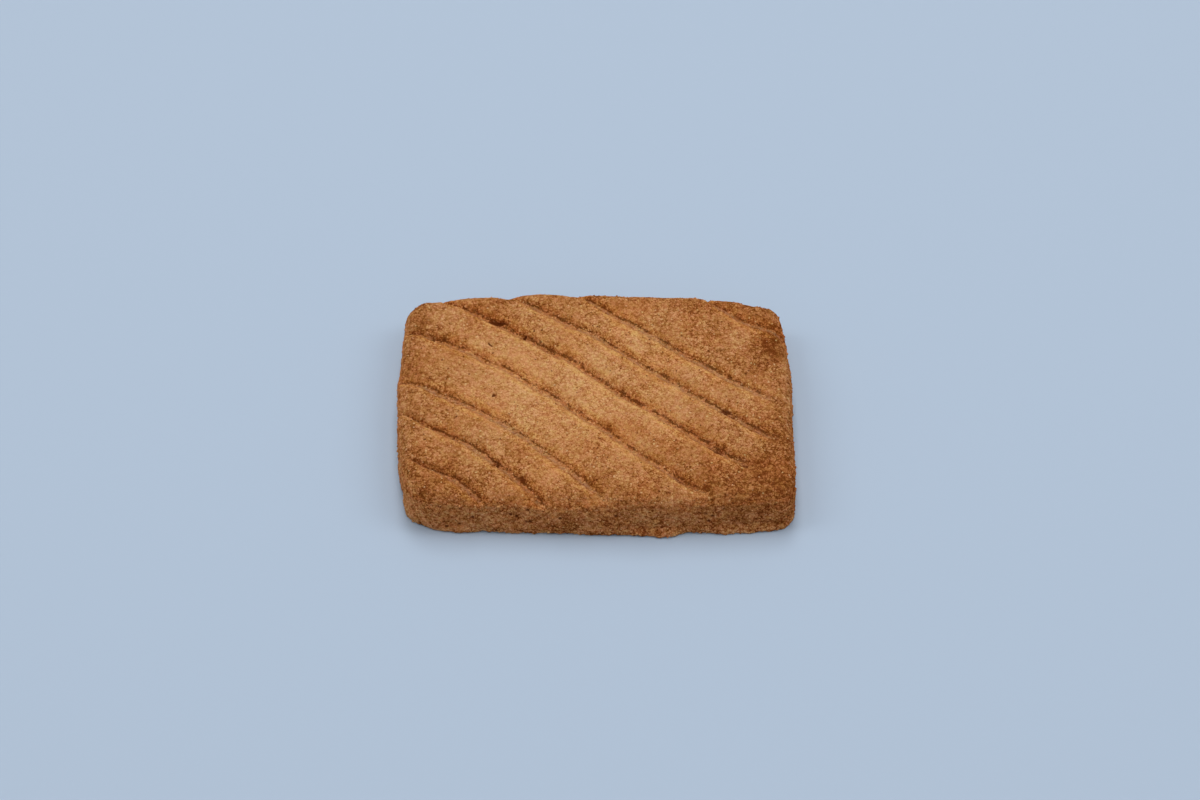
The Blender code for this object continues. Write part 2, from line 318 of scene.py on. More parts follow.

# The painted shade line in a crease: how far it strays and how wide it is, in stroke widths, and where it
# breaks
STRAY_SIZE = 0.5 * MM
STRAY_RANGE = (-0.60, -0.20)
LINE_WIDTH_SIZE = 0.9 * MM
LINE_WIDTH_RANGE = (0.35, 0.65, 0.02, 0.25)
LINE_EDGE = 0.10
BREAK_SIZE = 1.6 * MM
BREAK_LESS_IN_DARK = 0.12
BREAK_RANGE = (0.46, 0.62, 0.0, 0.95)
LINE_FINE_RANGE = (1.15, 0.65)
BUMP_DEPTH = 0.13 * MM
FINE_BUMP = 0.5

# How fine the sheet is: cells over the top, rows down the wall, and rows in over the base
TOP_CELLS = (276, 198)
WALL_ROWS = 37
BASE_ROWS = 7
BASE_CROWDING = 0.8


def slab_sheet():
    """The block's skin as one sheet: a grid over the top, then a band of rings whose rows run down the
    wall and in over the base, and one point at the base's middle. Gives the points, the four-sided
    faces and the ring of triangles round the middle."""
    nx, ny = TOP_CELLS
    half_length = (LENGTH - sum(END_BOWS)) / 2 - END_SPREAD
    half_width = (WIDTH - sum(SIDE_BOWS)) / 2 - WALL_SPREAD
    across, back = np.meshgrid(
        np.linspace(-half_length, half_length, nx + 1), np.linspace(-half_width, half_width, ny + 1)
    )
    top = np.stack([across, back, np.full(across.shape, THICKNESS)], axis=-1).reshape(-1, 3)
    grid = np.arange((nx + 1) * (ny + 1)).reshape(ny + 1, nx + 1)
    rim = np.concatenate([grid[0, :-1], grid[:-1, -1], grid[-1, :0:-1], grid[:0:-1, 0]])

    # A ring keeps the rim's outline: first lower and lower, then smaller and smaller on the base
    down = np.linspace(1.0, 0.0, WALL_ROWS + 1)[1:]
    inward = np.linspace(1.0, 0.0, BASE_ROWS + 1)[1:-1] ** BASE_CROWDING
    size = np.concatenate([np.ones(WALL_ROWS), inward])
    level = np.concatenate([down, np.zeros(len(inward))])
    rings = top[rim] * np.stack([size, size, level], axis=1)[:, None]
    points = np.concatenate([top, rings.reshape(-1, 3), np.zeros((1, 3))])

    quads = np.stack([grid[:-1, :-1], grid[:-1, 1:], grid[1:, 1:], grid[1:, :-1]], axis=-1)
    ring = len(top) + np.arange(len(size) * len(rim)).reshape(len(size), len(rim))
    ring = np.concatenate([rim[None], ring])
    ahead = np.roll(ring, -1, axis=1)
    band = np.stack([ring[:-1], ring[1:], ahead[1:], ahead[:-1]], axis=-1)
    middle = np.full(len(rim), len(points) - 1)
    fan = np.stack([ring[-1], middle, ahead[-1]], axis=-1)
    return points, np.concatenate([quads.reshape(-1, 4), band.reshape(-1, 4)]), fan


def closed_mesh(name, points, *faces):
    """A mesh of these points, with groups of faces that have the same number of corners."""
    mesh = bpy.data.meshes.new(name)
    corners = np.concatenate([group.ravel() for group in faces])
    sizes = np.concatenate([np.full(len(group), group.shape[1]) for group in faces])
    mesh.vertices.add(len(points))
    mesh.vertices.foreach_set("co", np.ascontiguousarray(points, np.float32).ravel())
    mesh.loops.add(len(corners))
    mesh.loops.foreach_set("vertex_index", corners.astype(np.int32))
    mesh.polygons.add(len(sizes))
    mesh.polygons.foreach_set("loop_start", (np.cumsum(sizes) - sizes).astype(np.int32))
    mesh.update(calc_edges=True)
    mesh.validate()
    mesh.shade_smooth()
    return mesh


def to_disc(u, v):
    """Moves each point of a square ring to the round ring of the same reach."""
    reach = np.maximum(np.abs(u), np.abs(v))
    scale = reach / np.maximum(np.hypot(u, v), 1e-12)
    return u * scale, v * scale


def smooth_step(value, low, high):
    """0 below low, 1 above high, with a level start and end between them."""
    t = np.clip((value - low) / (high - low), 0.0, 1.0)
    return t * t * (3.0 - 2.0 * t)


def swell(points, size, seed):
    """Random numbers on a lattice with that spacing, blended smoothly between its points: -1 to 1."""
    lattice = np.random.default_rng(seed).uniform(-1.0, 1.0, (SWELL_LATTICE,) * 3)
    cell = np.floor(points / size).astype(int)
    share = points / size - cell
    share = share * share * (3.0 - 2.0 * share)
    total = np.zeros(len(points))
    for corner in np.ndindex(2, 2, 2):
        weight = np.prod(np.where(corner, share, 1.0 - share), axis=1)
        i, j, k = ((cell + corner) % SWELL_LATTICE).T
        total += weight * lattice[i, j, k]
    return total


def swells(points, rows):
    """The swells of these rows of size, height and seed, added up."""
    return sum(high * swell(points, size, seed) for size, high, seed in rows)


def lumps_along(x, lumps):
    """A row of bell curves along a side, added up."""
    return sum(out * np.exp(-(((x - where) / half) ** 2)) for where, out, half in lumps)


def by_corner(x, y, front, back):
    """Blends four values, one for each corner, over the middle of the oblong."""
    right = smooth_step(x, -LENGTH / 8, LENGTH / 8)
    rear = smooth_step(y, -WIDTH / 8, WIDTH / 8)
    in_front = front[0] + (front[1] - front[0]) * right
    behind = back[0] + (back[1] - back[0]) * right
    return in_front * (1.0 - rear) + behind * rear


def rounded(block):
    """The block with a quarter round along its rim and its foot, round corners, and a wall that
    spreads outwards as it goes down."""
    half_length, half_width = np.abs(block[:, :2]).max(axis=0)
    x, y, z = block.T
    inset = np.minimum(half_length - np.abs(x), half_width - np.abs(y))
    out = np.clip(RIM_RADIUS - inset, 0.0, None)
    up = np.clip(z - (THICKNESS - RIM_RADIUS), 0.0, None)
    rim_out, rim_up = to_disc(out, up)
    drawn_in = (out - rim_out) * (up > 0)
    z = z - (up - rim_up) * (out > 0)
    out = np.clip(FOOT_RADIUS - inset, 0.0, None)
    down = np.clip(FOOT_RADIUS - z, 0.0, None)
    foot_out, foot_down = to_disc(out, down)
    drawn_in = drawn_in + (out - foot_out) * (down > 0)
    z = z + (down - foot_down) * (out > 0)

    radius = by_corner(x, y, FRONT_CORNER_RADII, BACK_CORNER_RADII)
    inner_x = np.clip(x, radius - half_length, half_length - radius)
    inner_y = np.clip(y, radius - half_width, half_width - radius)
    beyond_x, beyond_y = x - inner_x, y - inner_y
    ring = np.maximum(np.abs(beyond_x), np.abs(beyond_y))
    end_share = np.abs(beyond_x) / np.maximum(np.abs(beyond_x) + np.abs(beyond_y), 1e-9)
    spreading = WALL_SPREAD + (END_SPREAD - WALL_SPREAD) * end_share
    spreading *= np.clip(1.0 - z / THICKNESS, 0.0, 1.0) ** SPREAD_POWER
    at_foot = (y < 0) * (1.0 - smooth_step(z, 0.0, FOOT_LUMP_HEIGHT))
    lumps = lumps_along(x, FOOT_LUMPS) * at_foot + lumps_along(x, BACK_LUMPS) * (y > 0)
    end_lumps = lumps_along(y, LEFT_LUMPS) * (x < 0) + lumps_along(y, RIGHT_LUMPS) * (x > 0)
    lumps = lumps * (1.0 - end_share) + end_lumps * end_share
    uneven = swells(block, SWELLS)
    reach = ring - drawn_in + (spreading + lumps + uneven) * ring / radius
    scale = reach / np.maximum(np.hypot(beyond_x, beyond_y), 1e-9)
    x = inner_x + beyond_x * scale
    y = inner_y + beyond_y * scale

    # The sides stand out in their middles, and the oblong is a little out of square
    end_bow = np.where(x < 0, *END_BOWS)
    side_bow = np.where(y < 0, *SIDE_BOWS)
    bowed_x = x * (1.0 + end_bow / half_length * (1.0 - (y / half_width) ** 2))
    bowed_y = y * (1.0 + side_bow / half_width * (1.0 - (x / half_length) ** 2))
    slant = BACK_SLANT * bowed_x * np.clip(bowed_y / half_width, 0.0, None)
    return bowed_x - SKEW * bowed_y, bowed_y - slant, z


def fitted(values, size, start):
    """Moves and stretches the values along one axis by a hair, so that they fill the stated size."""
    low, high = values.min(), values.max()
    return (values - low) / (high - low) * size + start


def stroke_marks(x, y):
    """How deep the strokes press at each place; how far across its nearest stroke it lies, in stroke
    widths, below 0 on the near side and above 0 on the far side; and how strong that stroke is and how
    dark the painted shade in its crease is."""
    depth = np.zeros(len(x))
    side = np.full(len(x), NO_STROKE)
    strength, darkness = np.zeros(len(x)), np.zeros(len(x))
    seen_flat = np.stack([x, y, np.zeros(len(x))], axis=1)
    waver = swells(seen_flat, WAVERS)
    for passes, deep, far_width, fade_in, fade_out, dark in STROKES:
        t = np.linspace(0.0, 1.0, STROKE_STEPS)
        stops = np.array((0.0, 1 / 3, 2 / 3, 1.0))
        others = [np.delete(stops, i) for i in range(4)]
        shares = [np.prod((t[:, None] - o) / (stops[i] - o), axis=1) for i, o in enumerate(others)]
        path = np.stack(shares, axis=1) @ (np.array(passes) * MM)
        run = np.gradient(path, axis=0)
        step = np.linalg.norm(run, axis=1)
        direction, length = run / step[:, None], np.cumsum(step)

        low, high = path.min(axis=0) - STROKE_MARGIN, path.max(axis=0) + STROKE_MARGIN
        near = np.nonzero((x > low[0]) & (x < high[0]) & (y > low[1]) & (y < high[1]))[0]
        place = np.stack([x[near], y[near]], axis=1)
        square = (place**2).sum(axis=1)[:, None] - 2 * place @ path.T + (path**2).sum(axis=1)
        nearest = np.argmin(square, axis=1)
        away, ahead = place - path[nearest], direction[nearest]
        across = ahead[:, 0] * away[:, 1] - ahead[:, 1] * away[:, 0] + waver[near] - CREASE_SHIFT
        along = length[nearest] + (away * ahead).sum(axis=1)
        opened = smooth_step(along, 0.0, OPENING_LENGTH)
        across = across / (FIRST_WIDTH_SHARE + (1.0 - FIRST_WIDTH_SHARE) * opened)
        width = np.where(across < 0, LIP_WIDTH, far_width * FAR_SHARE * MM)
        from_crease = np.hypot(across, CREASE_RADIUS) - CREASE_RADIUS
        lip = np.exp(-((from_crease / LIP_WIDTH) ** LIP_POWER))
        near_cut = lip * LIP_SHARE + np.exp(-((from_crease / FLOOR_WIDTH) ** 2)) * (1.0 - LIP_SHARE)
        cut = np.where(across < 0, near_cut, np.exp(-((from_crease / width) ** FAR_POWER)))
        pillow = np.exp(-((across / PILLOW_WIDTH) ** 2))
        start = smooth_step(along, -STROKE_REACH, fade_in * MM)
        end = smooth_step(length[-1] - along, -STROKE_REACH, fade_out * MM)
        section = cut * (1.0 - PILLOW_SHARE) + pillow * PILLOW_SHARE
        depth[near] += deep * MM * section * start * end
        closer = np.abs(across / width) < np.abs(side[near])
        side[near] = np.where(closer, across / width, side[near])
        strength[near] = np.where(closer, start * end, strength[near])
        darkness[near] = np.where(closer, dark, darkness[near])
    return depth, side, strength, darkness


def cells(points, size, seed):
    """One seed in each cube of a lattice with that spacing, at a random place in it: the distance from
    each point to its nearest seed, in spacings, and that seed's own random number."""
    draws = np.random.default_rng(seed).uniform(0.0, 1.0, (*(CELL_LATTICE,) * 3, 4))
    place = points / size
    home = np.floor(place).astype(int)
    nearest = np.full(len(points), 9.0)
    number = np.zeros(len(points))
    for step in np.ndindex(3, 3, 3):
        cube = home + np.array(step) - 1
        i, j, k = (cube % CELL_LATTICE).T
        drawn = draws[i, j, k]
        away = np.linalg.norm(place - cube - drawn[:, :3], axis=1)
        closer = away < nearest
        nearest[closer], number[closer] = away[closer], drawn[closer, 3]
    return nearest, number


def bell(value, middle, half):
    """A bell curve: 1 at its middle, a third at half away from it."""
    return np.exp(-(((value - middle) / half) ** 2))


def flaws_at(x, y):
    """How deep the cracks and pits go at each place, and how far into one it lies, from 0 to 1."""
    depth, inside = np.zeros(len(x)), np.zeros(len(x))
    seen_flat = np.stack([x, y, np.zeros(len(x))], axis=1)
    astray_x, astray_y = (out * swell(seen_flat, FLAW_WAVER_SIZE, seed) for out, seed in FLAW_WAVERS)
    for across, back, half_long, half_wide, turn, deep in FLAWS:
        away_x, away_y = x - across * MM + astray_x, y - back * MM + astray_y
        cosine, sine = math.cos(math.radians(turn)), math.sin(math.radians(turn))
        along = (away_x * cosine + away_y * sine) / (half_long * MM)
        beside = (away_y * cosine - away_x * sine) / (half_wide * MM)
        shape = np.exp(-(along**4) - beside**2)
        depth = np.maximum(depth, shape * deep * MM)
        inside = np.maximum(inside, shape * min(deep / FULL_FLAW, 1.0))
    return depth, inside


block, slab_quads, slab_fan = slab_sheet()
x, y, z = rounded(block)
x, y = fitted(x, LENGTH, -LENGTH / 2), fitted(y, WIDTH, -WIDTH / 2)
depth, side, strength, darkness = stroke_marks(x, y)
share_up = smooth_step(z, TOP_FROM, TOP_FULL)
dome = (1.0 - (2 * x / LENGTH) ** 2) * (1.0 - (2 * y / WIDTH) ** 2)
level_place = np.stack([x, y, np.full(len(x), THICKNESS)], axis=1)
uneven_top = swells(level_place, SWELLS)
z = fitted(z + share_up * (DOME_HEIGHT * (dome - 1.0) + uneven_top - depth), THICKNESS, 0.0)
slab_points = np.stack([x, y, z], axis=1)
slab_mesh = closed_mesh("slab", slab_points, slab_quads, slab_fan)
slab = bpy.data.objects.new("slab", slab_mesh)
bpy.context.scene.collection.objects.link(slab)

# The crumb's own relief stands on that shape: grains, clots of grains, pores and the cracks
outward = np.empty(3 * len(slab_points))
slab_mesh.vertex_normals.foreach_get("vector", outward)
outward = outward.reshape(-1, 3)
on_wall = 1.0 - smooth_step(z, WALL_FULL, WALL_TO)
on_base = 1.0 - smooth_step(z, 0.0, FOOT_EDGE)
facing_down = smooth_step(-outward[:, 2], *FACING_DOWN)
coarse_corner = bell(np.hypot(x - COARSE_PLACE[0], y - COARSE_PLACE[1]), 0.0, COARSE_REACH)
strength = strength * share_up
in_groove, far_slope = bell(side, *PRESSED_BAND) * strength, bell(side, *FAR_BAND) * strength
lip_highlight = bell(side, *LIP_BAND) * strength
coarse = COARSENESS + swells(slab_points, COARSE_SWELLS) + CORNER_COARSER * coarse_corner
coarse += GROOVE_COARSER * in_groove + FAR_SLOPE_COARSER * far_slope + WALL_COARSER * on_wall
coarse = np.clip(coarse, *COARSE_LIMITS)
on_front = smooth_step(-outward[:, 1], *FACING_FRONT) * on_wall
relief = np.zeros(len(x))
for size, high, seed in GRAINS:
    away, number = cells(slab_points, size, seed)
    relief += high * (GRAIN_LEAST + number) * (GRAIN_LEVEL - away)
relief += swells(slab_points, RIPPLES)
relief *= coarse * (1.0 + WALL_ROUGHER * on_wall + FRONT_ROUGHER * on_front)
relief += swells(slab_points, FOOT_RAGS) * bell(z, 0.0, FOOT_RAGGED_HEIGHT) * on_wall
pits = np.zeros(len(x))
for spacing, share, half, deep, wall_only, seed in PORES:
    away, number = cells(slab_points, spacing, seed)
    chosen = number < share * (1.0 + CORNER_PORES * coarse_corner)
    pit = np.exp(-((away * spacing / half) ** 2)) * chosen * (on_wall if wall_only else 1.0)
    relief -= deep * pit
    # The pores, and below them the cracks, are also kept as a mask for painted shade inside them
    pits = np.maximum(pits, pit)
flaw_depth, flaw = flaws_at(x, y)
relief -= flaw_depth * share_up
pits = np.maximum(pits, flaw * share_up)
relief *= 1.0 - facing_down
pits *= 1.0 - facing_down
slab_points = slab_points + outward * relief[:, None]
x, y = fitted(slab_points[:, 0], LENGTH, -LENGTH / 2), fitted(slab_points[:, 1], WIDTH, -WIDTH / 2)
z = np.clip(slab_points[:, 2], 0.0, None)
z = z * (THICKNESS / z.max())
slab_points = np.stack([x, y, z], axis=1)
slab_mesh.vertices.foreach_set("co", slab_points.astype(np.float32).ravel())
slab_mesh.update()

# How brown it is: golden in the middle, browner towards its edges, in patches, and on what stands proud
from_middle = ((x - PALE_MIDDLE[0]) / PALE_HALF[0]) ** 2 + ((y - PALE_MIDDLE[1]) / PALE_HALF[1]) ** 2
browning = MIDDLE_BROWNING + OUTER_BROWNING * np.clip(from_middle, 0.0, OUTER_LIMIT)
for across, back, radius, more in PATCHES:
    browning += more * bell(np.hypot(x - across * MM, y - back * MM), 0.0, radius * MM) * share_up
browning += swells(slab_points, BROWNING_SWELLS)
half_length, half_width = np.abs(block[:, :2]).max(axis=0)
from_left, from_front = block[:, 0] + half_length, block[:, 1] + half_width
from_edges = (from_left, 2 * half_length - from_left, from_front, 2 * half_width - from_front)
for from_edge, more in zip(from_edges, EDGE_BROWNING):
    browning += more * bell(from_edge, *EDGE_BAND)
front_right = bell(from_front, *EDGE_BAND) * smooth_step(x, FRONT_RIGHT_FROM, FRONT_RIGHT_FULL)
browning += FRONT_RIGHT_BROWNING * front_right
# Painted shade darkens each stroke's far slope, and a painted highlight makes its near lip paler
browning += FAR_SLOPE_SHADE * far_slope - LIP_HIGHLIGHT * lip_highlight
wall_brown = WALL_BROWNING + WALL_RIGHT_BROWNING * smooth_step(x, -LENGTH / 4, 0.0)
# Painted light from the left box on the wall that faces left
wall_brown -= WALL_LEFT_PAINTED_LIGHT * smooth_step(-outward[:, 0], *FACING_LEFT)
wall_brown += WALL_MIDDLE_BROWNING * bell(x, 0.0, WALL_MIDDLE_REACH) + swells(slab_points, WALL_SWELLS)
browning = browning * (1.0 - on_wall) + wall_brown * on_wall
foot_brown = FOOT_BROWNING + swells(slab_points, FOOT_SWELLS)
browning = browning * (1.0 - on_base) + foot_brown * on_base
browning -= BASE_PALER * facing_down

# How warm its brown is, and how golden
warmth = WARMTH + WALL_WARMER * on_wall + RIM_WARMER * bell(z, *RIM_BAND)
# Less red at the foot, partly its own colour and partly painted blue light from the table
warmth += BROWNED_WARMER * (browning - BROWNED_FROM) - FOOT_COOLER * bell(z, 0.0, FOOT_COOLER_HEIGHT)
warmth += FAR_SLOPE_WARMER * bell(side, *WARM_BAND) * strength + swells(slab_points, WARMTH_SWELLS)
warmth = np.clip(warmth, 0.0, 1.0) * (1.0 - BASE_COOLER * facing_down)
# The golden tint is partly a painted highlight along the near lips, partly the crust's own golden colour
# on the far slopes and in the middle
golden = lip_highlight + FAR_SLOPE_GOLDEN * bell(side, *GOLDEN_BAND) * strength
golden += MIDDLE_GOLDEN * np.clip(1.0 - from_middle, 0.0, 1.0) * share_up


def give(mesh, **values):
    """Stores one number for each point of the mesh, under each name."""
    for name, numbers in values.items():
        mesh.attributes.new(name, "FLOAT", "POINT").data.foreach_set("value", numbers.astype(np.float32))


give(slab_mesh, browning=browning, warmth=warmth, golden=golden, coarse=coarse, pit=pits)
give(slab_mesh, across=side, strength=strength, darkness=darkness, pressed=in_groove)

crust = bpy.data.materials.new("golden crust")
crust.use_nodes = True
crust_shader = crust.node_tree.nodes["Principled BSDF"]


def joined(tree, kind, inputs=None, **settings):
    """Adds a node with these settings; each input is a number, a colour or the socket that feeds it."""
    node = tree.nodes.new(kind)
    for name, value in settings.items():
        setattr(node, name, value)
    for name, value in (inputs or {}).items():
        if isinstance(value, bpy.types.NodeSocket):
            tree.links.new(value, node.inputs[name])
        else:
            node.inputs[name].default_value = value
    return node


def worked_out(tree, operation, *values):
    """A sum, product or other plain calculation on numbers and sockets."""
    node = joined(tree, "ShaderNodeMath", dict(enumerate(values)), operation=operation)
    return node.outputs["Value"]


def plus(tree, first, second):
    """The two added together."""
    return worked_out(tree, "ADD", first, second)


def times(tree, first, second):
    """The first multiplied by the second."""
    return worked_out(tree, "MULTIPLY", first, second)


def stored(tree, name):
    """A number stored on the mesh."""
    return joined(tree, "ShaderNodeAttribute", attribute_name=name).outputs["Fac"]


def noise(tree, place, size, detail=2.0, roughness=0.5):
    """Cloudy noise from 0 to 1, whose clouds are about that size."""
    inputs = {"Vector": place, "Scale": 1.0 / size, "Detail": detail, "Roughness": roughness}
    return joined(tree, "ShaderNodeTexNoise", inputs).outputs["Fac"]


def spread(tree, value, low, high, to_low=0.0, to_high=1.0):
    """Maps the range low to high onto another, and holds it at the ends."""
    inputs = {"Value": value, "From Min": low, "From Max": high, "To Min": to_low, "To Max": to_high}
    return joined(tree, "ShaderNodeMapRange", inputs).outputs["Result"]


def grains(tree, place, size):
    """Grains of about that size: each one's own random number, and how far a place is from its middle."""
    node = joined(tree, "ShaderNodeTexVoronoi", {"Vector": place, "Scale": 1.0 / size})
    number = joined(tree, "ShaderNodeSeparateColor", {"Color": node.outputs["Color"]}).outputs["Red"]
    return number, node.outputs["Distance"]


def blended(tree, share, first, second, blend="MIX"):
    """The first colour where the share is 0, and where it is 1 the second, or with the blend MULTIPLY
    the two multiplied."""
    node = joined(tree, "ShaderNodeMix", data_type="RGBA", blend_type=blend)
    for socket, value in ((node.inputs[0], share), (node.inputs[6], first), (node.inputs[7], second)):
        if isinstance(value, bpy.types.NodeSocket):
            tree.links.new(value, socket)
        else:
            socket.default_value = (*value, 1.0) if isinstance(value, tuple) else value
    return node.outputs[2]


tree = crust.node_tree
place = joined(tree, "ShaderNodeTexCoord").outputs["Object"]
fine = noise(tree, place, FINE_SIZE, 2.0, 0.6)
clots = noise(tree, place, CLOT_SIZE, 3.0, 0.55)
wobble = joined(tree, "ShaderNodeTexNoise", {"Vector": place, "Scale": 1.0 / WOBBLE_SIZE, "Detail": 1.0})
pushed = {0: wobble.outputs["Color"], "Scale": WOBBLE}
pushed = joined(tree, "ShaderNodeVectorMath", pushed, operation="SCALE").outputs["Vector"]
moved = joined(tree, "ShaderNodeVectorMath", {0: place, 1: pushed}, operation="ADD").outputs["Vector"]
grain_number, from_grain = grains(tree, moved, GRAIN_SIZE)
speck_number, from_speck = grains(tree, moved, SPECK_SIZE)

# Each grain has its own tone, and the gaps between grains are browner
tone = spread(tree, grain_number, 0.0, 1.0, *GRAIN_TONE)
tone = plus(tree, tone, spread(tree, fine, *SOFT, *FINE_TONE))
tone = plus(tree, tone, times(tree, spread(tree, from_grain, *GAP_RANGE), GAP_TONE))
tone = times(tree, tone, stored(tree, "coarse"))
brown = plus(tree, stored(tree, "browning"), spread(tree, clots, *SOFT, *CLOT_TONE))
ramp = joined(tree, "ShaderNodeValToRGB", {"Fac": plus(tree, brown, tone)})
stops = ramp.color_ramp.elements
for stop, shade in CRUST_COLOURS[1:-1]:
    stops.new(stop)
for element, (stop, shade) in zip(stops, CRUST_COLOURS):
    element.position, element.color = stop, (*shade, 1.0)
colour = ramp.outputs["Color"]

# The floor of a groove is pressed dough; here and there lies a sugar grain or a dark speck
pressed_patches = spread(tree, noise(tree, place, PRESSED_PATCH), *SHARP, *PRESSED_PATCHES)
pressed = times(tree, spread(tree, stored(tree, "pressed"), *PRESSED_RANGE), pressed_patches)
colour = blended(tree, pressed, colour, PRESSED_COLOUR)
speck_core = spread(tree, from_speck, *SPECK_CORE)
sugar = times(tree, speck_core, spread(tree, speck_number, *SUGAR_SPECKS))
colour = blended(tree, sugar, colour, SUGAR_COLOUR)
dark_specks = times(tree, speck_core, spread(tree, speck_number, *DARK_SPECKS))
colour = blended(tree, dark_specks, colour, PIT_SHADE_AND_SPECK_COLOUR)

# The crease's line of painted shade strays, swells and breaks off
stray = spread(tree, noise(tree, place, STRAY_SIZE, 2.0, 0.65), *SOFT, *STRAY_RANGE)
from_line = worked_out(tree, "ABSOLUTE", plus(tree, stored(tree, "across"), stray))
line_width = spread(tree, noise(tree, place, LINE_WIDTH_SIZE), *LINE_WIDTH_RANGE)
line_width = times(tree, line_width, stored(tree, "darkness"))
line = spread(tree, from_line, line_width, plus(tree, line_width, LINE_EDGE), 1.0, 0.0)
line = times(tree, line, stored(tree, "strength"))
whole = times(tree, stored(tree, "darkness"), BREAK_LESS_IN_DARK)
whole = plus(tree, noise(tree, place, BREAK_SIZE), whole)
line = times(tree, line, spread(tree, whole, *BREAK_RANGE))
line = times(tree, line, spread(tree, fine, *SOFT, *LINE_FINE_RANGE))
colour = blended(tree, line, colour, CREASE_SHADE_COLOUR)
# Painted shade inside the pores and cracks: dark at their middles, with ragged edges
ragged_pit = plus(tree, stored(tree, "pit"), spread(tree, fine, *SOFT, *RAGGED_PIT))
colour = blended(tree, spread(tree, ragged_pit, *SHARP, *PIT_SHARE), colour, PIT_SHADE_AND_SPECK_COLOUR)

# Last the tints: golden lips, which are a painted highlight, patches of yellow and pink, and warm edges
colour = blended(tree, stored(tree, "golden"), colour, GOLDEN_TINT, "MULTIPLY")
hue = spread(tree, noise(tree, place, HUE_PATCH, 2.0, 0.6), *SHARP)
colour = blended(tree, 1.0, colour, blended(tree, hue, YELLOW_TINT, PINK_TINT), "MULTIPLY")
colour = blended(tree, stored(tree, "warmth"), colour, WARM_TINT, "MULTIPLY")
tree.links.new(colour, crust_shader.inputs["Base Color"])
tree.links.new(spread(tree, fine, *SOFT, *GLOSS_RANGE), crust_shader.inputs["Roughness"])
crust_shader.inputs["Specular IOR Level"].default_value = 0.0
height = worked_out(tree, "SUBTRACT", times(tree, fine, FINE_BUMP), from_grain)
bump = joined(tree, "ShaderNodeBump", {"Height": height, "Strength": 1.0, "Distance": BUMP_DEPTH})
tree.links.new(bump.outputs["Normal"], crust_shader.inputs["Normal"])
slab_mesh.materials.append(crust)
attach(slab, "root")
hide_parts("shortbread")

# The crumbs: grains of flour, sugar and butter that stand half out of the crust, smaller and fewer on
# the top, and larger on the wall where the dough tore as it was cut.
# Each pair is for the top and for the wall: how many, their radius, how deep they sit as a share of it,
# and how much paler they are
CRUMB_COUNTS = (6000, 3900)
CRUMB_RADII = (0.15 * MM, 0.22 * MM)
CRUMB_SUNK = (0.8, 0.65)
CRUMB_PALER = (0.02, 0.12)

# How unlike they are: in size, in length, in roundness, in place and in tone
CRUMB_SPREAD = 0.33
CRUMB_SPREAD_LIMITS = (-2.0, 1.5)
CRUMB_STRETCH = (0.65, 1.25)
CRUMB_KNOBS = (0.75, 1.2)
CRUMB_ASTRAY = 0.13
CRUMB_TONES = 0.18
CRUMB_LOWEST = 0.25 * MM
CRUMB_TOP_FROM = 0.2
CRUMB_SEED = 51


def twenty_sided():
    """A round body of 12 corners and 20 equal triangles: corners at plus and minus 1 and the golden
    ratio in each pair of axes, brought to radius 1, and a triangle wherever three are nearest
    neighbours."""
    ratio = (1.0 + math.sqrt(5.0)) / 2.0
    points = np.array([(0, s, t * ratio) for s in (-1, 1) for t in (-1, 1)], float)
    points = np.concatenate([points, np.roll(points, 1, axis=1), np.roll(points, 2, axis=1)])
    points /= np.linalg.norm(points[0])
    edge = np.linalg.norm(points[:, None] - points[None], axis=2)
    close = np.abs(edge - edge[edge > 0.1].min()) < 0.01
    i, j, k = np.nonzero(close[:, :, None] & close[:, None, :] & close[None, :, :])
    once = (i < j) & (j < k)
    faces = np.stack([i[once], j[once], k[once]], axis=1)
    corners = points[faces]
    normals = np.cross(corners[:, 1] - corners[:, 0], corners[:, 2] - corners[:, 0])
    inward = (normals * corners.sum(axis=1)).sum(axis=1) < 0
    faces[inward] = faces[inward][:, ::-1]
    return points, faces


crumb_corners, crumb_sides = twenty_sided()
slab_mesh.vertex_normals.foreach_get("vector", outward.reshape(-1))
chance = np.random.default_rng(CRUMB_SEED)
on_top = np.nonzero((on_wall < 0.5) & (share_up > CRUMB_TOP_FROM))[0]
on_side = np.nonzero((on_wall >= 0.5) & (z > CRUMB_LOWEST))[0]
anchors = [chance.choice(on_top, CRUMB_COUNTS[0]), chance.choice(on_side, CRUMB_COUNTS[1])]
anchors = np.concatenate(anchors)
count = len(anchors)
unlike = np.clip(chance.normal(size=count), *CRUMB_SPREAD_LIMITS)
radius = np.repeat(CRUMB_RADII, CRUMB_COUNTS) * np.exp(CRUMB_SPREAD * unlike)
frames = np.linalg.qr(chance.normal(size=(count, 3, 3)))[0]
frames *= np.sign(np.linalg.det(frames))[:, None, None]
stretch = chance.uniform(*CRUMB_STRETCH, (count, 1, 3))
knobs = chance.uniform(*CRUMB_KNOBS, (count, 12, 1))
lumps = crumb_corners[None] * knobs * stretch * radius[:, None, None]
lumps = np.einsum("nij,nkj->nki", frames, lumps)
home = slab_points[anchors] + chance.uniform(-CRUMB_ASTRAY, CRUMB_ASTRAY, (count, 3)) * MM
sunk = radius * np.repeat(CRUMB_SUNK, CRUMB_COUNTS)
home -= outward.reshape(-1, 3)[anchors] * sunk[:, None]
crumb_points = (lumps + home[:, None]).reshape(-1, 3)
crumb_points[:, 2] = np.clip(crumb_points[:, 2], 0.0, THICKNESS)
crumb_faces = (crumb_sides[None] + 12 * np.arange(count)[:, None, None]).reshape(-1, 3)
crumb_mesh = closed_mesh("crumbs", crumb_points, crumb_faces)
tint = browning[anchors] + chance.normal(0.0, CRUMB_TONES, count) - np.repeat(CRUMB_PALER, CRUMB_COUNTS)
for_corners = {"browning": tint, "warmth": warmth[anchors], "coarse": coarse[anchors]}
